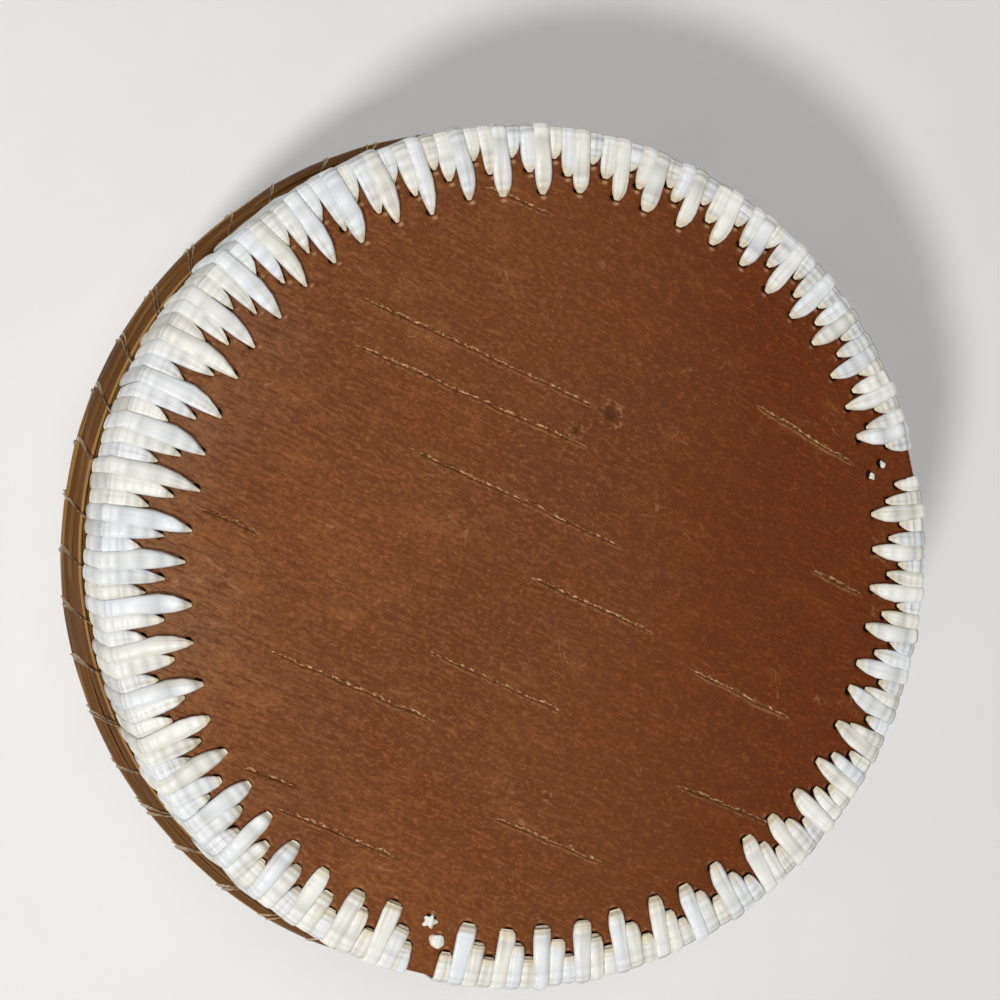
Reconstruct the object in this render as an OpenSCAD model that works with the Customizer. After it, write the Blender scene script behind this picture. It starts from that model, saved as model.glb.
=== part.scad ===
// Round birch bark box. A bark disc closes each end, and quills stitched over its edge hold it to
// the wall. A bundle of sweetgrass, sewn on with thread, stiffens each mouth.
// The origin is at the bottom centre, on the surface that the box stands on. The lid lifts along +Z.

/* [Bark] */
// Outside width of the end discs and of the wall strips
bark_d = 98.6; // [86:0.2:130]
// Thickness of the two end discs
disc_t = 1.4; // [1:0.1:2]
// Thickness of the two outer wall strips
wall_t = 1.2; // [0.9:0.1:1.6]
// Thickness of the lining discs and of the lid's lining strip
lining_t = 0.8; // [0.5:0.1:1.2]
// Width of the butt joint between the two ends of a strip
butt_gap = 0.1; // [0.06:0.02:0.2]

/* [Box] */
// Height of the lid, from its mouth edge to the face of its quills
lid_h = 22.5; // [18:0.5:30]
// Height of the base, from the face of its quills to its mouth edge
base_h = 30; // [26:0.5:60]
// Gap between the thread on the lid's mouth and the thread on the base's mouth
mouth_gap = 0.3; // [0.2:0.1:1]

/* [Collar] */
// Thickness of the sleeve that the lid slides on
collar_t = 1; // [0.8:0.1:1.5]
// How far the sleeve stands above the base's mouth edge
collar_rise = 12; // [8:0.5:13]
// Clearance between the sleeve and the lid's lining
collar_gap = 0.3; // [0.2:0.05:0.5]

/* [Quills] */
// Width of a quill where it bends over the edge
quill_w = 1.62; // [1.5:0.02:2.2]
// Gap between neighbouring quills at the bend
quill_gap = 0.1; // [0.08:0.02:0.3]
// Thickness of a long quill
long_t = 0.7; // [0.6:0.05:0.9]
// Thickness of a medium quill
medium_t = 0.62; // [0.4:0.02:0.68]
// Thickness of a short quill
short_t = 0.56; // [0.4:0.02:0.68]
// Least reach of a long quill over the disc, from the bend to its awl hole
long_reach = 6; // [5.6:0.1:8]
// Least reach of a medium quill over the disc
medium_reach = 4.1; // [3.8:0.1:5]
// Least reach of a short quill over the disc
short_reach = 2.5; // [2.4:0.1:3]
// Share by which the reach grows on the side where it is greatest
reach_swing = 0.44; // [0:0.02:0.5]
// Direction of that side
reach_side = 153; // [0:1:359]
// Greatest angle by which the quills lean towards the +X side
lean_max = 2; // [0:1:16]
// Length over which a quill narrows to its tip
tip_len = 1.5; // [1:0.1:2]
// Bare wall between the lid's long quills and its hoop
leg_clear = 1.2; // [1:0.1:3]
// Length of the base's long quills down the wall, from the face of the disc
base_leg = 15; // [10:0.2:18]
// How much shorter each next kind of quill is on the wall
leg_step = 0.6; // [0:0.1:1]

/* [Awl holes] */
// Side of the square awl hole that a quill's end goes through
awl_w = 0.9; // [0.8:0.05:1.1]
// Thickness of a quill's end in its awl hole
end_t = 0.45; // [0.35:0.05:0.55]
// Length of the end that is folded flat behind the bark
tail_len = 2; // [1:0.1:3]
// Thickness of the folded end
tail_t = 0.25; // [0.15:0.05:0.3]

/* [Hoops] */
// Thickness of a hoop of sweetgrass
hoop_d = 3.6; // [2.4:0.1:4.2]
// Number of grass blades round a hoop's core
blade_n = 8; // [6:1:12]
// Thickness of the sewing thread
thread_d = 0.3; // [0.2:0.05:0.4]
// Number of stitches round a hoop
stitch_n = 50; // [30:1:50]

/* [Side seam] */
// Number of stitches that close the base's wall strip
seam_n = 4; // [2:1:4]
// Distance between those stitches
seam_pitch = 1.8; // [1:0.1:2.6]
// Length of one of those stitches across the joint
seam_w = 3; // [2.4:0.1:4]

/* [Wear] */
// Direction of the first place where the lid has lost a long and a medium quill
gap_1 = 12; // [0:6:354]
// Direction of the second such place
gap_2 = 252; // [0:6:354]
// Length of the broken tip that is left in its awl hole
stub_len = 1.3; // [0.9:0.1:1.6]

/* [Hidden] */
$fn = 96;

// Play round anything that lies against or passes through the bark
seat = 0.03;
hole_play = 0.06;
over = 1;

// Radii of the wall, from its outside inwards
wall_r = bark_d / 2;
wall_in_r = wall_r - wall_t;
back_gap = max(tail_t, thread_d) + 3 * seat;
lining_r = wall_in_r - back_gap;
lid_bore_r = lining_r - lining_t;
collar_r = lid_bore_r - collar_gap;

// Heights. An end is modelled with its disc's face at z = 0 and its mouth edge at z = -depth.
lid_depth = lid_h - long_t;
base_depth = base_h - long_t;
lining_z = -disc_t - back_gap - lining_t;
base_face_z = long_t;
lid_face_z = base_h + 2 * (seat + thread_d) + mouth_gap + lid_depth;

// Quills: one group is a long, a medium and a short one, in that order counter-clockwise
LONG = 0;
MEDIUM = 1;
SHORT = 2;
reaches = [long_reach, medium_reach, short_reach];
thicks = [long_t, medium_t, short_t];
groups = floor(PI * bark_d / (3 * (quill_w + quill_gap)));
quill_n = 3 * groups;
end_w = awl_w - 2 * hole_play;
lid_leg = lid_depth - hoop_d - leg_clear;

// Hoop: a core with blades laid round it
blade_share = sin(180 / blade_n);
blade_d = hoop_d * blade_share / (1 + blade_share);
core_d = hoop_d - 2 * blade_d;
hoop_r = wall_r + seat + hoop_d / 2;
loop_r = hoop_d / 2 + seat;
stitch_phase = 180 / stitch_n;

// Directions of the butt joints, each between two quills and between two stitches
lid_butt = 180 / quill_n;
base_butt = 180 / quill_n;
lining_butt = 90 + 180 / quill_n;
collar_butt = 180 + 180 / quill_n;

function quill_angle(group, kind) = 360 * (3 * group + kind) / quill_n;
function reach_at(kind, angle) =
    reaches[kind] * (1 + reach_swing * pow(max(0, cos(angle - reach_side)), 2));
function lean_at(angle) = lean_max * sin(angle);
function is_gap(group) = group == round(gap_1 * groups / 360) || group == round(gap_2 * groups / 360);
function is_lost(group, kind) = is_gap(group) && kind != SHORT;

module bark_colour() { color("#7a4826") children(); }
module lining_colour() { color("#a9794d") children(); }
module quill_colour() { color("#e9e6da") children(); }
module grass_colour() { color("#8f7440") children(); }
module thread_colour() { color("#d9c7a2") children(); }

// Puts an end of the box, modelled face up, in its place
module at_lid() { translate([0, 0, lid_face_z]) children(); }
module at_base() { translate([0, 0, base_face_z]) mirror([0, 0, 1]) children(); }

// Puts a child at the top of the wall's outside, +X outwards, in the direction of one quill
module at_quill(group, kind) {
    rotate([0, 0, quill_angle(group, kind)]) translate([wall_r, 0, 0]) children();
}

// Turns a child that lies along +X on a face at z = 0 so that it lies on the disc, or down the wall
module on_disc() { rotate([0, 0, 180]) children(); }
module on_wall() { rotate([0, 90, 0]) children(); }

// Half a quill, from the bend at x = 0 to the awl hole at x = length, with its end folded behind
// the bark. fold is +1 for a tail that runs on and -1 for one that runs back.
module quill_half(length, lean, thick, bark_t, fold) {
    shoulder = length - tip_len;
    shoulder_w = quill_w * cos(lean) * (1 - shoulder / wall_r);
    along = [cos(lean), sin(lean)];
    across = [-sin(lean), cos(lean)];
    linear_extrude(thick)
        polygon([
            [0, -quill_w / 2],
            shoulder * along - shoulder_w / 2 * across,
            length * along - awl_w / 2 * across,
            length * along + awl_w / 2 * across,
            shoulder * along + shoulder_w / 2 * across,
            [0, quill_w / 2]
        ]);
    back = bark_t + seat + tail_t;
    tail_x = fold > 0 ? length - end_t : length - tail_len;
    rotate([0, 0, lean]) {
        translate([length - end_t, -end_w / 2, -back])
            cube([end_t - seat, end_w, back + thick / 2]);
        translate([tail_x, -end_w / 2, -back]) cube([tail_len, end_w, tail_t]);
    }
}

// The bend over the edge of the disc, between the two halves
module quill_bend(thick) {
    translate([0, quill_w / 2, 0]) rotate([90, 0, 0])
        rotate_extrude(angle = 90) square([thick, quill_w]);
}

module quill(group, kind, leg) {
    angle = quill_angle(group, kind);
    thick = thicks[kind];
    at_quill(group, kind) {
        quill_bend(thick);
        on_disc() quill_half(reach_at(kind, angle), lean_at(angle), thick, disc_t, 1);
        on_wall() quill_half(leg - kind * leg_step, 0, thick, wall_t, -1);
    }
}

// The broken tip of a quill in its awl hole
module quill_stub(group, kind) {
    angle = quill_angle(group, kind);
    length = reach_at(kind, angle);
    at_quill(group, kind) on_disc() intersection() {
        quill_half(length, lean_at(angle), thicks[kind], disc_t, 1);
        rotate([0, 0, lean_at(angle)])
            translate([length - stub_len, -quill_w, -disc_t - back_gap])
                cube([stub_len + tail_len, 2 * quill_w, disc_t + back_gap + long_t]);
    }
}

// The awl hole that a half quill's end goes through, a little longer than that end
module awl_hole(length, lean, bark_t) {
    rotate([0, 0, lean])
        translate([length - end_t - hole_play, -awl_w / 2, -bark_t - over])
            cube([awl_w, awl_w, bark_t + 2 * over]);
}

module disc_holes() {
    for (group = [0 : groups - 1], kind = [LONG : SHORT]) {
        angle = quill_angle(group, kind);
        at_quill(group, kind) on_disc() awl_hole(reach_at(kind, angle), lean_at(angle), disc_t);
    }
}

module wall_holes(leg) {
    for (group = [0 : groups - 1], kind = [LONG : SHORT])
        at_quill(group, kind) on_wall() awl_hole(leg - kind * leg_step, 0, wall_t);
}

// An outline drawn with +X outwards from the middle of a hoop, stood up at one stitch
module at_stitch(index, depth) {
    rotate([0, 0, stitch_phase + index * 360 / stitch_n])
        translate([hoop_r, 0, hoop_d / 2 - depth])
            rotate([90, 0, 0])
                children();
}

// Round the hoop and back through the wall, grown by a margin
module stitch_outline(margin) {
    circle(loop_r + margin);
    translate([-loop_r - wall_t - seat - margin, -loop_r - margin])
        square([loop_r + wall_t + seat + margin, 2 * (loop_r + margin)]);
}

module hoop_stitches(depth) {
    for (index = [0 : stitch_n - 1])
        at_stitch(index, depth)
            linear_extrude(thread_d, center = true)
                difference() {
                    stitch_outline(thread_d);
                    stitch_outline(0);
                }
}

module stitch_holes(depth) {
    hole_w = thread_d + 2 * hole_play;
    for (index = [0 : stitch_n - 1])
        at_stitch(index, depth)
            translate([-loop_r - wall_t - over, loop_r - hole_play, -hole_w / 2])
                cube([wall_t + 2 * over, hole_w, hole_w]);
}

// A strip of bark bent round, its ends meeting at the butt joint
module strip(outer_r, inner_r, low, high, butt) {
    difference() {
        translate([0, 0, low]) cylinder(h = high - low, r = outer_r);
        translate([0, 0, low - over]) cylinder(h = high - low + 2 * over, r = inner_r);
        rotate([0, 0, butt])
            translate([inner_r - over, -butt_gap / 2, low - over])
                cube([outer_r - inner_r + 2 * over, butt_gap, high - low + 2 * over]);
    }
}

module end_disc() {
    difference() {
        translate([0, 0, -disc_t]) cylinder(h = disc_t, r = wall_r);
        disc_holes();
    }
}

module end_lining() {
    translate([0, 0, lining_z]) cylinder(h = lining_t, r = wall_in_r - hole_play);
}

module end_wall(depth, leg, butt) {
    difference() {
        strip(wall_r, wall_in_r, -depth, -disc_t, butt);
        wall_holes(leg);
        stitch_holes(depth);
    }
}

module hoop_ring(offset_r, offset_z, depth, thickness) {
    translate([0, 0, hoop_d / 2 - depth + offset_z])
        rotate_extrude()
            translate([hoop_r + offset_r, 0]) circle(thickness / 2 - seat, $fn = 32);
}

module hoop_blades(depth) {
    lay_r = (core_d + blade_d) / 2;
    for (blade = [0 : blade_n - 1]) {
        turn = (blade + 0.5) * 360 / blade_n;
        hoop_ring(lay_r * cos(turn), lay_r * sin(turn), depth, blade_d);
    }
}

// The seam stitches lie level across the butt joint, between the base's quills and its hoop
module seam_place(index) {
    low = base_leg + awl_w;
    high = base_depth - hoop_d - thread_d;
    middle = (low + high) / 2;
    rotate([0, 0, base_butt])
        translate([0, 0, -middle + (index - (seam_n - 1) / 2) * seam_pitch])
            children();
}

module seam_stitch(index) {
    inside = wall_in_r - 2 * seat;
    seam_place(index)
        linear_extrude(thread_d, center = true)
            difference() {
                translate([inside - thread_d, -seam_w / 2])
                    square([wall_r + seat + 2 * thread_d - inside, seam_w]);
                translate([inside, thread_d - seam_w / 2])
                    square([wall_r + seat - inside, seam_w - 2 * thread_d]);
            }
}

module seam_holes() {
    hole_w = thread_d + 2 * hole_play;
    for (index = [0 : seam_n - 1], side = [-1, 1])
        seam_place(index)
            translate([wall_in_r - over, side * (seam_w - thread_d) / 2 - hole_w / 2, -hole_w / 2])
                cube([wall_t + 2 * over, hole_w, hole_w]);
}

module lid_top_bark() { bark_colour() at_lid() end_disc(); }

module lid_top_lining() { lining_colour() at_lid() end_lining(); }

module lid_wall_bark() { bark_colour() at_lid() end_wall(lid_depth, lid_leg, lid_butt); }

module lid_wall_lining() {
    lining_colour() at_lid() strip(lining_r, lid_bore_r, -lid_depth, lining_z, lining_butt);
}

module lid_quills(kind) {
    quill_colour() at_lid()
        for (group = [0 : groups - 1])
            if (!is_lost(group, kind)) quill(group, kind, lid_leg);
}

module lid_quills_long() { lid_quills(LONG); }
module lid_quills_medium() { lid_quills(MEDIUM); }
module lid_quills_short() { lid_quills(SHORT); }

module lid_quill_stubs() {
    quill_colour() at_lid()
        for (group = [0 : groups - 1], kind = [LONG : SHORT])
            if (is_lost(group, kind)) quill_stub(group, kind);
}

module lid_hoop_core() { grass_colour() at_lid() hoop_ring(0, 0, lid_depth, core_d); }
module lid_hoop_blades() { grass_colour() at_lid() hoop_blades(lid_depth); }
module lid_hoop_thread() { thread_colour() at_lid() hoop_stitches(lid_depth); }

module base_bottom_bark() { bark_colour() at_base() end_disc(); }

module base_bottom_lining() { lining_colour() at_base() end_lining(); }

module base_wall_bark() {
    bark_colour() at_base() difference() {
        end_wall(base_depth, base_leg, base_butt);
        seam_holes();
    }
}

module base_wall_lining() {
    lining_colour() at_base() strip(lining_r, collar_r, -base_depth, lining_z, lining_butt);
}

module base_collar() {
    bark_colour() at_base()
        strip(collar_r, collar_r - collar_t, -base_depth - collar_rise, lining_z, collar_butt);
}

module base_quills(kind) {
    quill_colour() at_base()
        for (group = [0 : groups - 1]) quill(group, kind, base_leg);
}

module base_quills_long() { base_quills(LONG); }
module base_quills_medium() { base_quills(MEDIUM); }
module base_quills_short() { base_quills(SHORT); }

module base_hoop_core() { grass_colour() at_base() hoop_ring(0, 0, base_depth, core_d); }
module base_hoop_blades() { grass_colour() at_base() hoop_blades(base_depth); }
module base_hoop_thread() { thread_colour() at_base() hoop_stitches(base_depth); }

module base_seam_thread() {
    thread_colour() at_base() for (index = [0 : seam_n - 1]) seam_stitch(index);
}

lid_top_bark();
lid_top_lining();
lid_wall_bark();
lid_wall_lining();
lid_quills_long();
lid_quills_medium();
lid_quills_short();
lid_quill_stubs();
lid_hoop_core();
lid_hoop_blades();
lid_hoop_thread();
base_bottom_bark();
base_bottom_lining();
base_wall_bark();
base_wall_lining();
base_collar();
base_quills_long();
base_quills_medium();
base_quills_short();
base_hoop_core();
base_hoop_blades();
base_hoop_thread();
base_seam_thread();
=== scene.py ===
"""A round birch bark box with quilled edges and sweetgrass hoops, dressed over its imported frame."""
import math
import random

import bmesh
import bpy
from mathutils import Matrix, Vector, kdtree, noise


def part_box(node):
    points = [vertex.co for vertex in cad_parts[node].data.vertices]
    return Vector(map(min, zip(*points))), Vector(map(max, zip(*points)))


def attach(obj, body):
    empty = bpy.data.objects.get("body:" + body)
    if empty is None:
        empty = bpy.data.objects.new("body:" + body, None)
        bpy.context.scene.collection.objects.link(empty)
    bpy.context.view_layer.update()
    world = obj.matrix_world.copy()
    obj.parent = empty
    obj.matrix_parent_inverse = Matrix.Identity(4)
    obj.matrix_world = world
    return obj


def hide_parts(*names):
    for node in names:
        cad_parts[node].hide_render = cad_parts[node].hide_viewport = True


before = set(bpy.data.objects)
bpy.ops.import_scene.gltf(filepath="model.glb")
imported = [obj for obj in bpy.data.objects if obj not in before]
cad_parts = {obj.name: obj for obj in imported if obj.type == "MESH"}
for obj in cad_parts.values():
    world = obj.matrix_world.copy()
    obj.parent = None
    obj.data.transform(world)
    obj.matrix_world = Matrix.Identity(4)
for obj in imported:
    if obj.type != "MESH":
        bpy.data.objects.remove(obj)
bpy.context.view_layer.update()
scene = bpy.context.scene
scene.view_settings.view_transform = "Standard"

# Camera: almost straight above the lid, leaning a little towards the box's left side, and close
# enough that the hoop shows only on that side.
MM = 0.001
face_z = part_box("lid_top_bark")[1].z
aim_x, aim_y = -4.85 * MM, 6.5 * MM
distance, tilt, towards = 212.5 * MM, math.radians(16.7), math.radians(179.7)
aim = Vector((aim_x, aim_y, face_z))
sight = Vector((math.sin(tilt) * math.cos(towards), math.sin(tilt) * math.sin(towards),
                math.cos(tilt)))
picture_px, focal_px = 1000, 1851
camera_data = bpy.data.cameras.new("camera")
camera_data.lens = focal_px * camera_data.sensor_width / picture_px
camera_data.clip_start = 0.01
camera = bpy.data.objects.new("camera", camera_data)
across_view = Vector((0, 1, 0)).cross(sight).normalized()
turn = Matrix((across_view, sight.cross(across_view), sight)).transposed()
camera.matrix_world = Matrix.Translation(aim + sight * distance) @ turn.to_4x4()
scene.collection.objects.link(camera)
scene.camera = camera

# Table and light: a plain pale table top under the box, a soft lamp almost overhead, a stronger,
# small one at the lower left whose shadows draw the quills, a wide weak one at the upper right,
# and an even, pale room.
class Socket:
    """One value of a finish, which can be added, multiplied and so on with others."""

    def __init__(self, finish, link):
        self.finish = finish
        self.link = link

    def math(self, operation, *others, first=None):
        values = (first, self) if first is not None else (self, *others)
        return self.finish.node("Math", {"operation": operation}, dict(enumerate(values)))

    def __add__(self, other):
        return self.math("ADD", other)

    __radd__ = __add__

    def __sub__(self, other):
        return self.math("SUBTRACT", other)

    def __rsub__(self, other):
        return self.math("SUBTRACT", first=other)

    def __mul__(self, other):
        return self.math("MULTIPLY", other)

    __rmul__ = __mul__

    def rise(self, low, high):
        """0 below low, 1 above high, and smooth between them."""
        return self.finish.node("MapRange", {"interpolation_type": "SMOOTHSTEP"},
                                {0: self, 1: low, 2: high, 3: 0.0, 4: 1.0})


class Finish:
    """A material for one kind of surface."""

    def __init__(self, name):
        self.material = bpy.data.materials.new(name)
        self.material.use_nodes = True
        self.tree = self.material.node_tree
        self.tree.nodes.clear()

    def node(self, kind, settings, inputs, output=0):
        made = self.tree.nodes.new("ShaderNode" + kind)
        for name, value in settings.items():
            setattr(made, name, value)
        for name, value in inputs.items():
            if isinstance(value, Socket):
                self.tree.links.new(value.link, made.inputs[name])
            else:
                made.inputs[name].default_value = value
        return Socket(self, made.outputs[output])

    def place(self, scale, turned=0.0):
        """Object coordinates, turned about Z and then scaled along each axis."""
        where = self.node("TexCoord", {}, {}, "Object")
        where = self.node("Mapping", {}, {"Vector": where, "Rotation": (0, 0, turned)})
        return self.node("VectorMath", {"operation": "MULTIPLY"}, {0: where, 1: scale})

    def grain(self, vector, scale=(1, 1, 1), detail=2.0, rough=0.5, size=1.0):
        scaled = self.node("VectorMath", {"operation": "MULTIPLY"}, {0: vector, 1: scale})
        return self.node("TexNoise", {}, {"Vector": scaled, "Scale": size, "Detail": detail,
                                          "Roughness": rough})

    def mix(self, mask, first, second):
        return self.node("Mix", {"data_type": "RGBA"}, {0: mask, 6: first, 7: second}, 2)

    def close(self, colour, rough, bump=None, depth=0.1, **fixed):
        """Puts the colour, roughness and bump on one shader. depth is the bump's height in mm."""
        shader = {"Base Color": colour, "Roughness": rough}
        shader.update({name.replace("_", " "): value for name, value in fixed.items()})
        if bump is not None:
            shader["Normal"] = self.node("Bump", {}, {"Height": bump, "Distance": depth * MM,
                                                      "Strength": 1.0})
        lit = self.node("BsdfPrincipled", {}, shader)
        out = self.tree.nodes.new("ShaderNodeOutputMaterial")
        self.tree.links.new(lit.link, out.inputs["Surface"])
        return self.material


def srgb(red, green, blue):
    """A colour as it is seen, 0 to 255, as the shader wants it."""
    linear = [(c / 255 / 12.92 if c < 10.3 else ((c / 255 + 0.055) / 1.055) ** 2.4)
              for c in (red, green, blue)]
    return (*linear, 1.0)


def new_piece(name, bm, finish):
    """A mesh object at the origin, shaded smooth, from a finished bmesh."""
    bmesh.ops.recalc_face_normals(bm, faces=bm.faces)
    mesh = bpy.data.meshes.new(name)
    bm.to_mesh(mesh)
    bm.free()
    mesh.materials.append(finish)
    mesh.shade_smooth()
    piece = bpy.data.objects.new(name, mesh)
    scene.collection.objects.link(piece)
    return piece


table_finish = Finish("table")
table_grain = table_finish.grain(table_finish.place((1, 1, 1)), size=60.0, detail=5.0)
table_colour = table_finish.mix(table_grain, srgb(238, 236, 233), srgb(244, 243, 241))
table_r = 1.6
bm = bmesh.new()
bmesh.ops.create_circle(bm, cap_ends=True, segments=64, radius=table_r)
table = new_piece("table", bm, table_finish.close(table_colour, 0.75))

# Name, place, width and power of each lamp, in metres and watts
lamps = (("window", (-0.08, 0.05, 0.6), 0.24, 0.9), ("lamp", (-0.27, -0.22, 0.52), 0.07, 2.0),
         ("back", (0.5, 0.4, 0.7), 0.7, 0.5))
for lamp_name, place, size, power in lamps:
    lamp_data = bpy.data.lights.new(lamp_name, "AREA")
    lamp_data.shape = "DISK"
    lamp_data.size = size
    lamp_data.energy = power
    lamp = bpy.data.objects.new(lamp_name, lamp_data)
    lamp.matrix_world = (Matrix.Translation(place)
                         @ Vector(place).to_track_quat("Z", "Y").to_matrix().to_4x4())
    scene.collection.objects.link(lamp)

world = bpy.data.worlds.new("room")
world.use_nodes = True
room = world.node_tree.nodes["Background"]
room.inputs["Color"].default_value = srgb(250, 250, 252)
room.inputs["Strength"].default_value = 0.22
scene.world = world

# End discs: a disc of thick birch bark at each end, inner side out, cut across the grain. Its
# colour runs from tan to red brown, with fine fibres along the grain and faint scratches. Over it
# lies painted light: a painted sheen towards -X, painted shade towards +X and in the awl holes, and a
# painted highlight on the bark pushed up before each hole.
grain_turn, base_grain_turn = math.radians(24), -0.6


def bark_finish(name, vector, tones, lenticels=0.0, rough=0.5, painted_light=False, knots=()):
    """Birch bark, inner side out. vector gives places in mm, with x along the grain. With painted
    light asked for, a painted sheen greys the sheet towards -X and painted shade makes it redder and
    darker towards +X; painted shade darkens its awl holes, and a painted highlight lightens the bark
    pushed up before them."""
    bark = Finish(name)
    where = vector(bark)
    pale, middle, deep, red, hair_tone = tones
    clouds = bark.grain(where, size=0.03, detail=3.0)
    patches = bark.grain(where, (0.6, 1, 1), size=0.14, detail=6.0, rough=0.68)
    blotches = bark.grain(where, (0.8, 1.2, 1), size=0.7, detail=5.0, rough=0.72)
    mottle = bark.grain(where, (0.8, 1.3, 1), size=1.9, detail=4.0, rough=0.7)
    fibres = bark.grain(where, (0.35, 2.6, 1), detail=3.0, rough=0.6)
    colour = bark.mix(clouds.rise(0.25, 0.75), deep, middle)
    # Painted sheen greys the bark towards -X; painted shade makes it, and its pale tone, redder and
    # darker towards +X.
    if painted_light:
        sheen_fade = bark.node("SeparateXYZ", {}, {"Vector": bark.place((1, 1, 1))}, "X")
        sheen_fade = sheen_fade * (1 / MM) + (clouds - 0.5) * 60 + (patches - 0.5) * 30
        colour = bark.mix(sheen_fade.rise(-24, -52) * 0.6, colour, srgb(138, 104, 74))
        colour = bark.mix(sheen_fade.rise(-6, 34) * 0.95, colour, srgb(92, 34, 1))
        pale = bark.mix(sheen_fade.rise(-20, 30) * 0.8, pale, srgb(128, 66, 20))
    colour = bark.mix(patches.rise(0.5, 0.74) * 0.45, colour, pale)
    colour = bark.mix(patches.rise(0.5, 0.28) * 0.5, colour, red)
    colour = bark.mix(blotches.rise(0.5, 0.72) * 0.35, colour, pale)
    colour = bark.mix(blotches.rise(0.5, 0.3) * 0.45, colour, deep)
    colour = bark.mix(mottle.rise(0.5, 0.7) * 0.6, colour, pale)
    colour = bark.mix(mottle.rise(0.5, 0.32) * 0.85, colour, deep)
    specks = bark.grain(where, (0.8, 1.3, 1), size=4.2, detail=3.0, rough=0.7)
    colour = bark.mix(specks.rise(0.54, 0.74) * 0.5, colour, pale)
    colour = bark.mix(specks.rise(0.46, 0.28) * 0.6, colour, deep)
    colour = bark.mix(fibres.rise(0.52, 0.72) * 0.3, colour, pale)
    colour = bark.mix(fibres.rise(0.48, 0.28) * 0.4, colour, deep)
    if painted_light:
        colour = bark.mix(fibres.rise(0.46, 0.34) * sheen_fade.rise(-5, -40) * 0.8, colour, deep)
    bent = bark.node("VectorMath", {"operation": "MULTIPLY_ADD"}, {
        0: bark.node("TexNoise", {}, {"Vector": where, "Scale": 0.35}, "Color"),
        1: (1.6, 1.6, 0.0), 2: where})
    hairs = 0
    for turned, shift in ((1.3, 0.0), (-0.5, 40.0), (0.35, 80.0)):
        crossed = bark.grain(bark.node("Mapping", {}, {
            "Vector": bent, "Location": (shift, shift, 0), "Rotation": (0, 0, turned)}),
            (0.07, 0.4, 0.3), detail=0.0)
        hairs = (1 - (crossed - 0.5).math("ABSOLUTE").rise(0.001, 0.009)) + hairs
    hairs = hairs * patches.rise(0.53, 0.58) * blotches.rise(0.46, 0.54)
    colour = bark.mix(hairs * 0.22, colour, hair_tone)
    for x, y, size in knots:
        near = bark.node("VectorMath", {"operation": "DISTANCE"}, {
            0: bark.place((1 / MM, 1 / MM, 0)), 1: (x, y, 0)}, "Value")
        near = near + (blotches - 0.5) * 2.4 * size
        spot = (1 - near.rise(0.25 * size, size)) * mottle.rise(0.3, 0.5)
        colour = bark.mix(spot * 0.7, colour, srgb(60, 32, 16))
        ring = near.rise(size, 1.3 * size) * (1 - near.rise(1.3 * size, 1.7 * size))
        colour = bark.mix(ring * mottle.rise(0.45, 0.6) * 0.35, colour, hair_tone)
    height = fibres * 0.4 + mottle * 0.6 + blotches * 0.5 + hairs * 0.25
    if lenticels:
        cells = bark.node("VectorMath", {"operation": "MULTIPLY"},
                          {0: where, 1: (0.05, 0.32, 0.32)})
        reach = bark.node("TexVoronoi", {}, {"Vector": cells, "Scale": 1.0})
        dashes = (1 - reach.rise(0.05, 0.13)) * mottle.rise(0.25, 0.5) * lenticels
        colour = bark.mix(dashes * 0.7, colour, srgb(52, 28, 15))
        height = height + dashes * 0.8
    if painted_light:
        marks = bark.node("Attribute", {"attribute_name": "painted_light"}, {}, "Vector")
        pit, lip = (bark.node("SeparateXYZ", {}, {"Vector": marks}, axis) for axis in "XY")
        # Painted highlight: the raised lips before the awl holes are painted paler.
        colour = bark.mix(lip.rise(0.3, 0.85) * (0.5 + mottle), colour, srgb(196, 150, 112))
        # Painted shade: the pits of the awl holes are darkened nearly to black.
        colour = bark.mix(pit.rise(0.1, 0.5), colour, srgb(26, 12, 6))
    return bark.close(colour, rough + 0.2 * mottle, height, 0.12, Specular_IOR_Level=0.14)


wall_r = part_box("lid_wall_bark")[1].x / MM
face_mm = face_z / MM
base_face_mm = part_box("base_bottom_bark")[0].z / MM
disc_t = face_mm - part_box("lid_top_bark")[0].z / MM
lid_place = Matrix.Translation((0, 0, face_mm))
base_place = Matrix.Translation((0, 0, base_face_mm)) @ Matrix.Scale(-1, 4, (0, 0, 1))
in_mm = (1 / MM, 1 / MM, 1 / MM)
groups = 60
# Least reach over the disc of a long, a medium and a short quill, the share by which it grows on
# the side where it is greatest, and the side where the quills' tips are sharpest
reaches = (6.0, 4.1, 2.5)
reach_swing, long_side, sharp_side = 0.44, math.radians(153), 2.78


def awl_holes(seed):
    """Direction, reach over the disc and lean of each quill, by its group and its kind."""
    draws = random.Random(seed)
    holes = {}
    for group in range(groups):
        for kind, reach in enumerate(reaches):
            angle = 2 * math.pi * (3 * group + kind) / (3 * groups)
            reach = reach * (1 + reach_swing * max(0.0, math.cos(angle - long_side)) ** 2)
            lean = 2 * math.sin(angle) + draws.gauss(0, 2.2)
            holes[group, kind] = (angle, reach * draws.uniform(0.94, 1.06), math.radians(lean))
    return holes


def pointed(angle):
    """How sharply the quills' tips on that side are drawn in: 1 a spearhead, 0 square."""
    near_right, near_left = (max(0.0, math.cos(angle - side)) for side in (0.0, sharp_side))
    return (0.06 + 0.6 * near_right + 0.94 * near_left) ** 1.3


def warp(x, y):
    """How far the dried bark stands up or sinks there, in mm. The stitched edge is held flat."""
    held_r, fade = 46, 8
    calm = min(1.0, max(0.0, (held_r - math.hypot(x, y)) / fade))
    return calm * (0.22 * noise.noise((x / 24, y / 24, 3.0)) + 0.05 * noise.noise((x / 7, y / 5, 9)))


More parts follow.
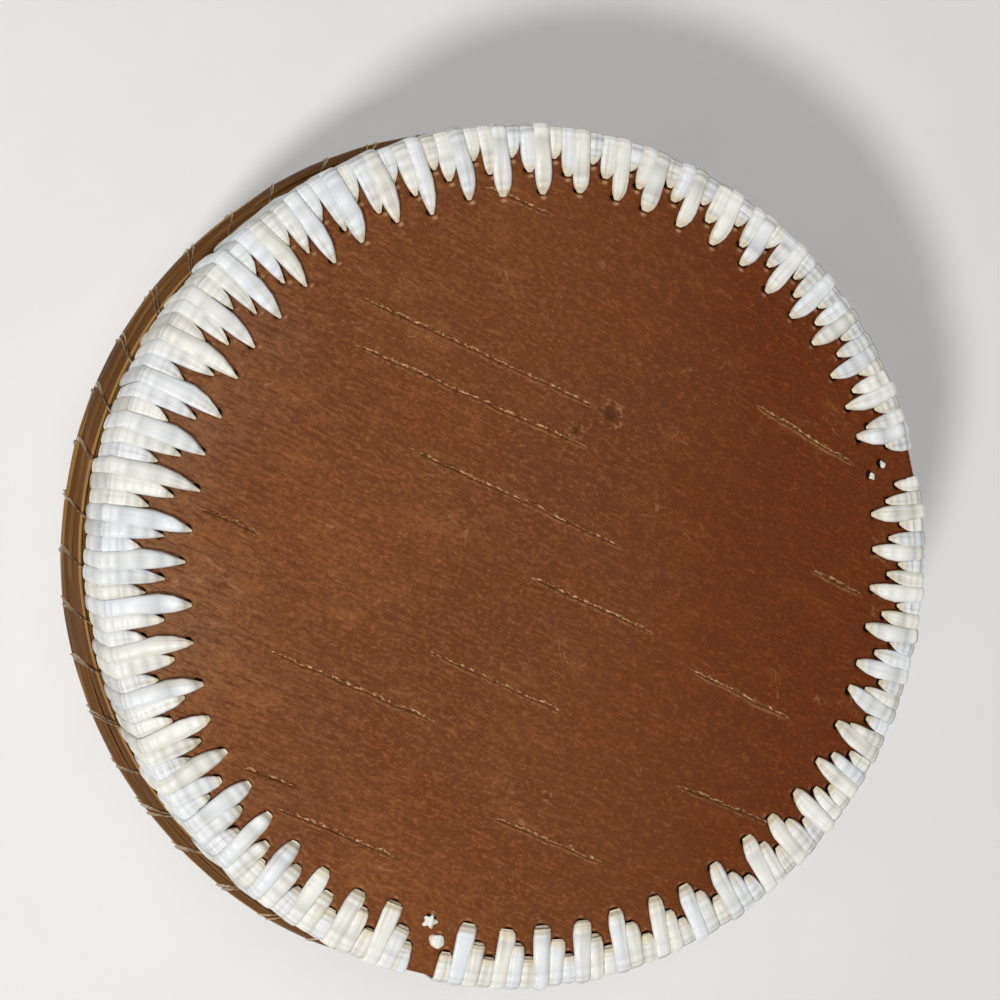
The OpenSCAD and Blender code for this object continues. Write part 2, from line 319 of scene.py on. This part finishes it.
def disc_piece(name, node, place, holes, finish, body):
    """A disc whose rings of corners lie close together where the awl holes are."""
    bm = bmesh.new()
    painted_light = bm.verts.layers.float_vector.new("painted_light")
    wide_step, close_step, close_from, bevel = 2.5, 0.24, 36.4, 0.25
    corner_n = 6 * 3 * groups
    rows = [wide_step * row for row in range(1, 15)]
    rows += [close_from + close_step * row for row in range(46)]
    profile = [(radius, 0.0) for radius in rows]
    profile += [(wall_r - 0.9, 0.0), (wall_r - bevel, 0.0), (wall_r, -bevel), (wall_r, -disc_t)]
    bmesh.ops.create_circle(bm, cap_ends=True, segments=corner_n, radius=profile[0][0])
    loop = list(bm.edges)
    before = profile[0]
    for radius, height in profile[1:]:
        drawn = bmesh.ops.extrude_edge_only(bm, edges=loop)["geom"]
        ring = [part for part in drawn if isinstance(part, bmesh.types.BMVert)]
        loop = [part for part in drawn if isinstance(part, bmesh.types.BMEdge)]
        share = radius / before[0]
        bmesh.ops.scale(bm, vec=(share, share, 1), verts=ring)
        bmesh.ops.translate(bm, vec=(0, 0, height - before[1]), verts=ring)
        before = (radius, height)
    bmesh.ops.holes_fill(bm, edges=loop, sides=0)
    face = [corner for corner in bm.verts if corner.co.z > -0.01]
    near = kdtree.KDTree(len(face))
    for index, corner in enumerate(face):
        near.insert(corner.co, index)
    near.balance()
    for corner in face:
        corner.co.z += warp(corner.co.x, corner.co.y)
    for angle, reach, lean in holes.values():
        inward = -Vector((math.cos(angle + lean), math.sin(angle + lean), 0))
        aside = Vector((inward.y, -inward.x, 0))
        hole = Vector((wall_r * math.cos(angle), wall_r * math.sin(angle), 0)) + inward * reach
        raised = 0.45 + 0.55 * max(0.0, math.sin(angle)) + 0.2 * max(0.0, -math.sin(angle))
        sharp = pointed(angle)
        # The pit is the open part of the hole and the lip the bark pushed up before it, with a
        # low rim round both and a dent under the quill
        for spot, index, _ in near.find_range(hole, 2.0):
            on, off = (spot - hole).dot(inward), (spot - hole).dot(aside)
            oval = (((on - 0.2) / (0.36 + 0.14 * max(0.0, -math.sin(angle)))) ** 2
                    + ((off - 0.42 * sharp) / (0.6 - 0.22 * sharp)) ** 2)
            # The pit is a real hollow; in the finish it is also darkened as painted shade.
            pit = min(1.0, max(0.0, 1.5 - oval))
            # The lip is real raised bark; in the finish it and the low rim are also painted paler, a
            # painted highlight.
            lip = raised * math.exp(-((on - 1.05) / 0.35) ** 2 - (off / 0.6) ** 2)
            rim = math.exp(-((math.sqrt(oval) - 1.75) / 0.45) ** 2) * (0.6 if on > 0 else 0.2)
            dent = math.exp(-(on / 1.3) ** 2 - (off / 0.9) ** 2)
            face[index].co.z += 0.2 * lip + 0.05 * rim - 0.1 * dent - 0.75 * pit
            before = face[index][painted_light]
            face[index][painted_light] = (max(before.x, pit), max(before.y, 0.7 * lip + 0.2 * rim), 0)
    bmesh.ops.transform(bm, matrix=Matrix.Scale(MM, 4) @ place, verts=bm.verts)
    disc = new_piece(name, bm, finish)
    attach(disc, body)
    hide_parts(node)


def on_lid(pixel_x, pixel_y):
    """The point of the lid's face, in mm, that the camera shows at that pixel."""
    eye = aim + sight * distance
    ray = turn @ Vector((pixel_x - picture_px / 2, picture_px / 2 - pixel_y, -focal_px))
    seen = (eye + ray * (face_z - eye.z) / ray.z) / MM
    return seen.x, seen.y


# The pale, middle, deep and red tones of the bark, and the tone of its scratches
bark_tones = [srgb(158, 100, 55), srgb(121, 68, 31), srgb(98, 51, 21), srgb(112, 52, 15),
              srgb(196, 148, 102)]
# The lid's dark knots: the pixel of each, read in the picture, and its radius in mm
knot_pixels = [(610, 415, 1.1), (575, 430, 0.7), (547, 795, 0.4)]
lid_knots = [(*on_lid(x, y), radius) for x, y, radius in knot_pixels]
lid_bark = bark_finish("bark", lambda made: made.place(in_mm, grain_turn), bark_tones, painted_light=True,
                       knots=lid_knots)
base_bark = bark_finish("base_bark", lambda made: made.place(in_mm, base_grain_turn), bark_tones,
                        painted_light=True)
lid_holes, base_holes = awl_holes(7), awl_holes(8)
disc_piece("lid_disc", "lid_top_bark", lid_place, lid_holes, lid_bark, "lid")
disc_piece("base_disc", "base_bottom_bark", base_place, base_holes, base_bark, "base")

# Lenticels: the narrow pores that cross birch bark, all one way. Each is a low split ridge about
# 0.8 mm wide, dark in its furrow, with pale flecks along its lips.
lenticel_grain = Finish("lenticel")
along_piece = lenticel_grain.node("Attribute", {"attribute_name": "grain"}, {}, "Vector")
across_ridge = lenticel_grain.node("SeparateXYZ", {}, {"Vector": along_piece}, "Y")
flecks = lenticel_grain.grain(along_piece, (1.6, 2.0, 9.0), detail=3.0, rough=0.7)
furrow = 1 - (across_ridge + (flecks - 0.5) * 0.5).math("ABSOLUTE").rise(0.1, 0.42)
ridge_colour = lenticel_grain.mix(flecks.rise(0.35, 0.6), srgb(98, 53, 25), srgb(140, 88, 48))
ridge_colour = lenticel_grain.mix(furrow * 0.7, ridge_colour, srgb(62, 32, 14))
dashes = flecks.rise(0.53, 0.6) * across_ridge.rise(0.1, 0.4)
ridge_colour = lenticel_grain.mix(dashes, ridge_colour, srgb(206, 160, 112))
ridge_finish = lenticel_grain.close(ridge_colour, 0.75, flecks, 0.06, Specular_IOR_Level=0.15)


def draw_out(bm, section, places, marks, layer):
    """Extrudes a section, given as (x, y, mark) corners, through a row of placements.
    marks are the distances along it, which its grain follows."""
    corners = []
    for x, y, mark in section:
        corner = bm.verts.new(places[0] @ Vector((x, y, 0)))
        corner[layer] = (marks[0], mark, marks[-1])
        corners.append(corner)
    cap = bm.faces.new(corners)
    for before, after, along in zip(places, places[1:], marks[1:-1]):
        drawn = bmesh.ops.extrude_face_region(bm, geom=[cap])["geom"]
        ring = [part for part in drawn if isinstance(part, bmesh.types.BMVert)]
        cap = next(part for part in drawn if isinstance(part, bmesh.types.BMFace))
        bmesh.ops.transform(bm, matrix=after @ before.inverted(), verts=ring)
        for corner in ring:
            corner[layer] = (along, corner[layer][1], corner[layer][2])


ridge_section = [(-0.5, -0.5, -1.0), (0.5, -0.5, 1.0), (0.42, 0.55, 0.8), (0.2, 1.0, 0.45),
                 (0.0, 0.1, 0.0), (-0.2, 1.0, -0.45), (-0.42, 0.5, -0.8)]
# The ridges on the lid: the pixels of both ends of each, read in the picture
lid_ridge_pixels = [((355, 295), (600, 410)), ((355, 345), (590, 450)), ((405, 447), (625, 550)),
                    ((197, 508), (260, 535)), ((530, 578), (655, 635)), ((690, 670), (790, 720)),
                    ((425, 650), (565, 715)), ((265, 650), (440, 725)), ((243, 768), (300, 790)),
                    ((275, 808), (400, 860)), ((490, 817), (605, 865)), ((755, 405), (856, 467)),
                    ((810, 570), (862, 596)), ((675, 785), (770, 825)), ((485, 187), (550, 215))]
lid_ridges = [(on_lid(*start), on_lid(*end)) for start, end in lid_ridge_pixels]


def ridge_piece(name, lines, level, up, body):
    """Ridges along the lines, on a face at that level that looks up (1) or down (-1)."""
    ridge_step, wander_w = 0.8, 0.14
    bm = bmesh.new()
    layer = bm.verts.layers.float_vector.new("grain")
    for index, (start, end) in enumerate(lines):
        start, end = Vector((*start, level)), Vector((*end, level))
        run = end - start
        steps = max(6, round(run.length / ridge_step))
        travel = run.normalized()
        side = Vector((0, 0, up)).cross(travel)
        places, marks = [], []
        for step in range(steps + 1):
            share = step / steps
            wander = noise.noise(Vector((share * run.length * 0.35, index * 7.3, 1.0)))
            swell = noise.noise(Vector((share * run.length * 1.1, index * 3.1, 5.0)))
            point = start + run * share + side * wander * wander_w
            fade = min(1.0, share * 9, (1 - share) * 9) ** 0.5 + 0.05
            width, tall = (0.85 + 0.4 * swell) * fade, (0.075 + 0.07 * swell) * fade
            point = point + Vector((0, 0, up * warp(point.x, point.y)))
            places.append(Matrix.Scale(MM, 4) @ Matrix((
                (side.x * width, 0, travel.x, point.x), (side.y * width, 0, travel.y, point.y),
                (0, tall * up, 0, point.z), (0, 0, 0, 1))))
            marks.append(share * run.length)
        draw_out(bm, ridge_section, places, marks + [index * 1.7], layer)
    piece = new_piece(name, bm, ridge_finish)
    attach(piece, body)


ridge_piece("lid_lenticels", lid_ridges, face_mm, 1, "lid")
draws = random.Random(11)
row_gap, clear_r = 5.6, 38
base_ridges = []
for row in range(-6, 7):
    middle = Vector((draws.uniform(-16, 16), row * row_gap + draws.uniform(-1.5, 1.5)))
    half = Vector((draws.uniform(4, 12), 0))
    lean = Matrix.Rotation(-base_grain_turn, 2)
    base_ridges.append((lean @ (middle - half), lean @ (middle + half)))
base_ridges = [line for line in base_ridges if max(end.length for end in line) < clear_r]
ridge_piece("base_lenticels", base_ridges, base_face_mm, -1, "base")

# Walls: a strip of the same bark bent round at each end, its ends butted, with its grain running
# round the box. The lid's is almost covered by quills, and the base's shows below its hoop.


def round_wall(made):
    """Millimetres up the box and round it, starting at the butt joints of the outer walls."""
    where = made.node("TexCoord", {}, {}, "Object")
    x, y, z = (made.node("SeparateXYZ", {}, {"Vector": where}, axis) for axis in "XYZ")
    round_box = (y * -1).math("ARCTAN2", x * -1) * wall_r
    return made.node("CombineXYZ", {}, {0: z * (1 / MM), 1: round_box, 2: 0.0})


def refinish(node, finish):
    """Gives a part of the CAD model, whose shape stays, its finish."""
    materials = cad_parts[node].data.materials
    materials.clear()
    materials.append(finish)


wall_bark = bark_finish("wall_bark", round_wall, bark_tones, lenticels=1.0)
for wall in ("lid_wall_bark", "base_wall_bark"):
    refinish(wall, wall_bark)

# Linings and collar: thinner, paler bark. The lining discs hide the folded ends of the quills,
# and the collar stands up out of the base to hold the lid.
lining_tones = [srgb(196, 154, 110), srgb(176, 132, 90), srgb(150, 106, 68), srgb(164, 112, 68),
                srgb(214, 178, 134)]
lining_grain_turn = 1.1
lining_disc = bark_finish("lining_bark", lambda made: made.place(in_mm, lining_grain_turn),
                          lining_tones, lenticels=0.8, rough=0.55)
lining_wall = bark_finish("collar_bark", round_wall, lining_tones, lenticels=0.8, rough=0.55)
for node in ("lid_top_lining", "base_bottom_lining"):
    refinish(node, lining_disc)
for node in ("lid_wall_lining", "base_wall_lining", "base_collar"):
    refinish(node, lining_wall)

# Quills: porcupine quills, soaked, pressed flat and stitched over the edge side by side. Each
# comes up through an awl hole in the disc, bends over the edge and goes in through the wall.

# Widths and heights of a long, a medium and a short quill, and how their tips' lengths compare
quill_widths, quill_heights = (2.22, 1.94, 1.64), (0.84, 0.7, 0.58)
tip_shares = (1.1, 0.95, 0.85)
# How much shorter each next kind is on the wall, and how far inside the sharp edge a quill bends
leg_step, bend_in = 0.6, 0.13
# No quill of the base goes lower than this, so the box stands on the table and not in it
stand_z = 0.03 * MM
# The groups in which the lid has lost its long and its medium quill
lost_groups = (2, 42)
quill_finish = Finish("quill")
quill_grain = quill_finish.node("Attribute", {"attribute_name": "grain"}, {}, "Vector")
from_tip, own_tone = (
    quill_finish.node("SeparateXYZ", {}, {"Vector": quill_grain}, axis) for axis in "XZ")
folds = quill_finish.grain(quill_grain, (0.1, 1.7, 31.0), detail=1.0, rough=0.4)
fine_lines = quill_finish.grain(quill_grain, (0.06, 7.0, 31.0), detail=0.0)
clouding = quill_finish.grain(quill_grain, (0.35, 1.0, 17.0), detail=1.0)
at_tip = 1 - from_tip.rise(0.4, 5.5)
quill_colour = quill_finish.mix(own_tone.rise(0.2, 0.8), srgb(226, 229, 232), srgb(231, 229, 219))
quill_colour = quill_finish.mix(clouding.rise(0.42, 0.7) * 0.5, quill_colour, srgb(236, 235, 228))
# Darker in the hollows of the folds, most near the tip: painted shade.
quill_colour = quill_finish.mix(folds.rise(0.5, 0.3) * (0.25 + 0.4 * at_tip), quill_colour,
                                srgb(196, 186, 162))
quill_colour = quill_finish.mix(fine_lines.rise(0.55, 0.75) * 0.16, quill_colour,
                                srgb(200, 194, 176))
quill_colour = quill_finish.mix((1 - from_tip.rise(0.2, 1.3)) * 0.65, quill_colour,
                                srgb(208, 188, 144))
quill_height = folds * (0.5 + 0.9 * at_tip)
quill_finish = quill_finish.close(quill_colour, 0.4 + 0.12 * clouding, quill_height, 0.1,
                                  Coat_Weight=0.12, Coat_Roughness=0.3)


def quill_section(draws):
    """A flattened quill seen end on: a low dome, creased along its top, clear of the bark at its
    sides."""
    crease, side = draws.uniform(0.86, 1.16), draws.uniform(-0.16, 0.16)
    return [(0.0, -0.05, 0.0), (0.59, 0.32, 1.0), (0.44, draws.uniform(0.86, 1.0), 0.7),
            (side, crease, side), (-0.44, draws.uniform(0.86, 1.0), -0.7), (-0.59, 0.32, -1.0)]


def quill_places(hole, kind, leg, rng):
    """Placements of a quill from its tip to its end on the wall, with distances from the tip."""
    angle, reach, lean = hole
    sharp = min(1.0, pointed(angle) * rng.uniform(0.85, 1.15))
    spacing = 2 * math.pi * wall_r / (3 * groups)
    wide = quill_widths[kind] * rng.uniform(0.92, 1.08)
    thick = quill_heights[kind] * rng.uniform(0.9, 1.08)
    blunt = 1 - sharp
    square = max(0.0, -math.sin(angle)) * blunt
    tip = reach + 0.42
    taper = min(0.62 * reach, (1.3 - 0.3 * square + 2.7 * sharp) * tip_shares[kind]
                * rng.uniform(0.85, 1.1))
    aside = (0.3 * sharp + rng.uniform(-0.1, 0.1)) * wide
    rim_w = spacing * rng.uniform(1.06, 1.14)
    roll = rng.uniform(-8, 8)
    leg = leg - kind * leg_step
    bulge = rng.uniform(0.6, 1.0)
    # Part of the box, distance from its edge, height, pitch, width, thickness, way aside
    rows = [("disc", reach - 0.1, -0.7, 88, 0.4, 0.35, aside),
            ("disc", tip, 0.02, 46, (0.14 + 0.26 * blunt + 0.3 * square) * wide,
             0.4 * thick, aside),
            ("disc", tip - 0.2 * taper, 0.05, 14,
             (0.42 + 0.36 * blunt + 0.16 * square) * wide, 0.74 * thick, 0.74 * aside),
            ("disc", tip - 0.52 * taper, 0.06, 4, (0.78 + 0.18 * blunt) * wide, 0.94 * thick,
             0.34 * aside),
            ("disc", tip - taper, 0.05, 0, wide, 1.02 * thick, 0.0),
            ("disc", 1.3, 0.04, -3, 0.3 * wide + 0.7 * rim_w, thick, 0.0),
            ("disc", 0.45, 0.0, -22, rim_w, thick, 0.0),
            ("edge", 0.0, 0.02, 0, rim_w, thick, 0.0),
            ("wall", 0.45, 0.04, 22, rim_w, thick, 0.0),
            ("wall", 0.45 * leg, 0.62 * bulge, 2, rim_w, 0.95 * thick, 0.0),
            ("wall", leg - 2.4, 0.8 * bulge, -8, 0.97 * rim_w, 0.9 * thick, 0.0),
            ("wall", leg - 0.25, 0.06, -58, 0.7, 0.42, 0.0),
            ("wall", leg - 0.3, -0.9, -88, 0.45, 0.35, 0.0)]
    places, marks, walked = [], [], 0.0
    before = None
    for row, (part, along, height, rake, width, tall, sway) in enumerate(rows):
        if part == "disc":
            travel, normal = Vector((math.cos(lean), math.sin(lean), 0)), Vector((0, 0, 1))
            point = Vector((wall_r, 0, 0)) - along * travel + sway * normal.cross(travel)
        elif part == "edge":
            travel, normal = Vector((1, 0, -1)).normalized(), Vector((1, 0, 1)).normalized()
            point = Vector((wall_r - bend_in, 0, -bend_in))
        else:
            travel, normal = Vector((0, 0, -1)), Vector((1, 0, 0))
            point = Vector((wall_r, 0, -along))
        point = point + height * normal
        rake = math.radians(rake)
        twist = math.radians(roll if 2 <= row <= 4 else 0.4 * roll)
        ahead = math.cos(rake) * travel + math.sin(rake) * normal
        up = math.cos(rake) * normal - math.sin(rake) * travel
        side = up.cross(ahead)
        side, up = (math.cos(twist) * side + math.sin(twist) * up,
                    math.cos(twist) * up - math.sin(twist) * side)
        places.append(Matrix((
            (side.x * width, up.x * tall, ahead.x, point.x),
            (side.y * width, up.y * tall, ahead.y, point.y),
            (side.z * width, up.z * tall, ahead.z, point.z), (0, 0, 0, 1))))
        walked += (point - before).length if before is not None and row > 1 else 0.0
        marks.append(walked)
        before = point
    return places, marks


def quill_piece(name, node, kind, leg, holes, place, body, lost, seed):
    rng = random.Random(seed)
    bm = bmesh.new()
    one_quill = bpy.data.meshes.new("one_quill")
    for group in range(groups):
        hole = holes[group, kind]
        places, marks = quill_places(hole, kind, leg, rng)
        section, tone = quill_section(rng), rng.random()
        if group in lost:
            continue
        put = Matrix.Scale(MM, 4) @ place @ Matrix.Rotation(hole[0], 4, "Z")
        quill = bmesh.new()
        layer = quill.verts.layers.float_vector.new("grain")
        draw_out(quill, section, [put @ where for where in places], marks + [tone], layer)
        quill.to_mesh(one_quill)
        quill.free()
        bm.from_mesh(one_quill)
    bpy.data.meshes.remove(one_quill)
    for corner in bm.verts:
        corner.co.z = max(corner.co.z, stand_z)
    piece = new_piece(name, bm, quill_finish)
    rounding = piece.modifiers.new("rounding", "SUBSURF")
    rounding.levels = rounding.render_levels = 1
    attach(piece, body)
    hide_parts(node)


lid_leg = face_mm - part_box("lid_quills_long")[0].z / MM
base_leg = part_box("base_quills_long")[1].z / MM - base_face_mm
for kind, kind_name in enumerate(("long", "medium", "short")):
    quill_piece(f"lid_{kind_name}_quills", f"lid_quills_{kind_name}", kind, lid_leg, lid_holes,
                lid_place, "lid", lost_groups if kind < 2 else (), 100 + kind)
    quill_piece(f"base_{kind_name}_quills", f"base_quills_{kind_name}", kind, base_leg,
                base_holes, base_place, "base", (), 200 + kind)

# Broken tips: at two places the lid has lost a long and a medium quill, and their snapped ends
# are still stuck in the awl holes, torn and spread by wear.
rng = random.Random(5)
bm = bmesh.new()
layer = bm.verts.layers.float_vector.new("grain")
# Group, kind, width and length of the torn end, how many points it has, how ragged it is
torn_ends = ((42, 0, 1.5, 1.4, 5, 0.34), (42, 1, 1.9, 1.5, 3, 0.06),
             (2, 0, 0.85, 0.7, 4, 0.15), (2, 1, 0.9, 0.7, 3, 0.15))
for group, kind, wide, long, points, ragged in torn_ends:
    angle, reach, lean = lid_holes[group, kind]
    nub = bmesh.ops.create_icosphere(bm, subdivisions=3, radius=0.5)["verts"]
    phase, tone = rng.uniform(0, 6), rng.random()
    for corner in nub:
        around = math.atan2(corner.co.y, corner.co.x)
        spread = 1 + ragged * math.cos(points * around + phase) + 0.3 * noise.noise(
            corner.co * 2.5 + Vector((group, kind, 0)))
        lift = 0.5 + 0.5 * noise.noise(corner.co * 4 + Vector((kind, 0, group)))
        corner[layer] = (2.0 + corner.co.x, 2 * corner.co.y, tone)
        corner.co = Vector((corner.co.x * long * spread, corner.co.y * wide * spread,
                            corner.co.z * (0.7 if corner.co.z < 0 else 0.9 * lift)))
    put = (Matrix.Scale(MM, 4) @ lid_place @ Matrix.Rotation(angle, 4, "Z")
           @ Matrix.Translation((wall_r, 0, 0)) @ Matrix.Rotation(lean, 4, "Z")
           @ Matrix.Translation((-reach, 0, 0.05)))
    bmesh.ops.transform(bm, matrix=put, verts=nub)
stubs = new_piece("broken_quill_tips", bm, quill_finish)
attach(stubs, "lid")
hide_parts("lid_quill_stubs")

# Hoops: a bundle of dried sweetgrass blades laid round each mouth and held tight to the wall.
# Flat blades lie side by side, some olive brown and some straw, and draw in under each stitch.
stitch_n = 50
# The hoop's clearance of the wall and of its thread, how deep its blades' middles lie, and the
# share by which a stitch draws them in
hoop_seat, blade_depth, draw_in = 0.03, 0.35, 0.09
hoop_low, hoop_high = (corner.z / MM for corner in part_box("lid_hoop_blades"))
hoop_d = hoop_high - hoop_low + 2 * hoop_seat
hoop_r = wall_r + hoop_seat + hoop_d / 2
grass = Finish("sweetgrass")
grass_grain = grass.node("Attribute", {"attribute_name": "grain"}, {}, "Vector")
blade_across, blade_tone, blade_own = (
    grass.node("SeparateXYZ", {}, {"Vector": grass_grain}, axis) for axis in "XYZ")
grass_where = grass.place((60, 60, 60))
ribs = grass.node("TexNoise", {"noise_dimensions": "4D"},
                  {"Vector": grass_where, "W": blade_across * 5 + blade_own * 40, "Scale": 1.0,
                   "Detail": 3.0})
grass_colour = grass.mix(blade_tone, srgb(96, 58, 17), srgb(170, 126, 68))
grass_colour = grass.mix(ribs.rise(0.52, 0.74) * 0.35, grass_colour, srgb(178, 138, 80))
grass_colour = grass.mix(ribs.rise(0.48, 0.28) * 0.5, grass_colour, srgb(62, 36, 12))
grass_finish = grass.close(grass_colour, 0.45 + 0.2 * ribs, ribs, 0.12, Specular_IOR_Level=0.2)
# How far out, which way round, width, thickness and tone of each blade
blade_layout = [(0.0, 0.0, 1.5, 1.3, 0.2), (0.9, 80, 2.1, 0.7, 0.0), (0.94, 34, 2.3, 0.66, 0.06),
                (0.98, -14, 2.1, 0.6, 0.8), (0.9, -62, 2.0, 0.66, 0.3),
                (0.9, -110, 1.8, 0.6, 0.5), (0.9, 126, 1.3, 0.6, 0.45),
                (0.85, 168, 1.7, 0.6, 0.2), (0.85, -155, 1.7, 0.6, 0.5),
                (1.12, 104, 0.5, 0.42, 1.0)]


def hoop_piece(name, nodes, level, body, seed):
    rng = random.Random(seed)
    bm = bmesh.new()
    layer = bm.verts.layers.float_vector.new("grain")
    for lay, turned, wide, thick, tone in blade_layout:
        made = bmesh.ops.create_circle(bm, segments=6, radius=0.5)["verts"]
        for index, corner in enumerate(made):
            corner[layer] = (abs(index - 3) / 3, min(1, tone + rng.uniform(-0.1, 0.1)), lay)
        out = lay * (hoop_d / 2 - blade_depth)
        turned = math.radians(turned)
        stand = (Matrix.Translation((hoop_r + out * math.cos(turned), 0, level
                                     + out * math.sin(turned)))
                 @ Matrix.Rotation(math.pi / 2, 4, "X")
                 @ Matrix.Rotation(turned + math.pi / 2, 4, "Z")
                 @ Matrix.Diagonal((wide, thick, 1, 1)))
        bmesh.ops.transform(bm, matrix=stand, verts=made)
        loop = [edge for edge in bm.edges if not edge.link_faces]
        bmesh.ops.spin(bm, geom=made + loop, axis=(0, 0, 1), cent=(0, 0, 0), steps=3 * stitch_n,
                       angle=2 * math.pi, use_merge=True)
        waves = [(rng.randint(2, 19), rng.uniform(0, 6.3), rng.uniform(0.02, 0.09))
                 for _ in range(5)]
        for corner in {v for v in bm.verts if not v.tag}:
            corner.tag = True
            angle = math.atan2(corner.co.y, corner.co.x)
            sway = sum(size * math.sin(count * angle + phase) for count, phase, size in waves)
            radius = math.hypot(corner.co.x, corner.co.y)
            squeeze = 1 - draw_in * (0.5 + 0.5 * math.cos(stitch_n * angle - math.pi)) ** 4
            radius = max(wall_r + 0.02, hoop_r + (radius - hoop_r) * squeeze + 0.5 * sway)
            corner.co = (radius * math.cos(angle), radius * math.sin(angle),
                         level + (corner.co.z - level) * squeeze + sway)
    bmesh.ops.scale(bm, vec=(MM, MM, MM), verts=bm.verts)
    piece = new_piece(name, bm, grass_finish)
    rounding = piece.modifiers.new("rounding", "SUBSURF")
    rounding.levels = rounding.render_levels = 1
    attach(piece, body)
    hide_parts(*nodes)


lid_hoop_mm = (hoop_low + hoop_high) / 2
base_hoop_mm = sum(corner.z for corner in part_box("base_hoop_blades")) / 2 / MM
hoop_piece("lid_grass", ("lid_hoop_blades", "lid_hoop_core"), lid_hoop_mm, "lid", 31)
hoop_piece("base_grass", ("base_hoop_blades", "base_hoop_core"), base_hoop_mm, "base", 32)

# Thread: pale waxed sewing thread, two strands at each stitch. It comes out through the wall over
# the hoop, slants down round its outside and goes back under the mouth's edge.
thread = Finish("thread")
thread_where = thread.place(in_mm)
twist_lines = thread.grain(thread_where, (3, 3, 3), detail=2.0)
thread_colour = thread.mix(twist_lines.rise(0.35, 0.65), srgb(232, 208, 170), srgb(252, 240, 216))
thread_finish = thread.close(thread_colour, 0.5, twist_lines, 0.05)
thread_d, wall_t = 0.6, 1.2
# How far a stitch slants round the box, and how far to its side each of its strands lies
slant, strand_aside = 4.4, 0.2
# A turn starts as a ring just outside the hoop. Its outer side is drawn in by one factor, and
# its inner side is stretched upright by another and lies behind the wall.
ring_gap, drawn_share, stretch, ring_play = 0.12, 0.87, 2.2, 0.1
loop_r = hoop_d / 2 + ring_gap


def thread_piece(name, node, level, up, body, seed):
    rng = random.Random(seed)
    bm = bmesh.new()
    one_turn = bpy.data.meshes.new("one_turn")
    for stitch in range(stitch_n):
        for strand in (-1, 1):
            turn = bmesh.new()
            made = bmesh.ops.create_circle(turn, segments=5, radius=thread_d / 2)["verts"]
            bmesh.ops.rotate(turn, matrix=Matrix.Rotation(math.pi / 2, 3, "X"), verts=made)
            bmesh.ops.translate(turn, vec=(loop_r, 0, 0), verts=made)
            bmesh.ops.spin(turn, geom=made + list(turn.edges), axis=(0, 1, 0), cent=(0, 0, 0),
                           steps=16, angle=2 * math.pi, use_merge=True)
            lean = slant * rng.uniform(0.8, 1.15) + strand_aside * strand
            for corner in turn.verts:
                bearing = math.atan2(corner.co.z, corner.co.x)
                x, z = loop_r * math.cos(bearing), loop_r * math.sin(bearing)
                thick_x, along, thick_z = corner.co - Vector((x, 0, z))
                along += strand_aside * strand - lean * max(0.0, (x + loop_r) / (2 * loop_r))
                if x > 0.01:
                    x *= drawn_share
                elif x < -0.01:
                    z = max(-loop_r - ring_play, min(loop_r + ring_play, z * stretch))
                    x *= 1 + wall_t / loop_r
                x, z = x + thick_x, z + thick_z
                around = 2 * math.pi * (stitch + 0.5) / stitch_n + along / (hoop_r + loop_r)
                corner.co = ((hoop_r + x) * math.cos(around), (hoop_r + x) * math.sin(around),
                             level + z * up)
            turn.to_mesh(one_turn)
            turn.free()
            bm.from_mesh(one_turn)
    bpy.data.meshes.remove(one_turn)
    bmesh.ops.scale(bm, vec=(MM, MM, MM), verts=bm.verts)
    piece = new_piece(name, bm, thread_finish)
    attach(piece, body)
    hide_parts(node)


thread_piece("lid_stitches", "lid_hoop_thread", lid_hoop_mm, 1, "lid", 41)
thread_piece("base_stitches", "base_hoop_thread", base_hoop_mm, -1, "base", 42)

# Seam stitches: four short stitches of the same thread, one above another, that hold the base's
# wall strip shut at its butt joint. Their ends go back in through awl holes.
refinish("base_seam_thread", thread_finish)
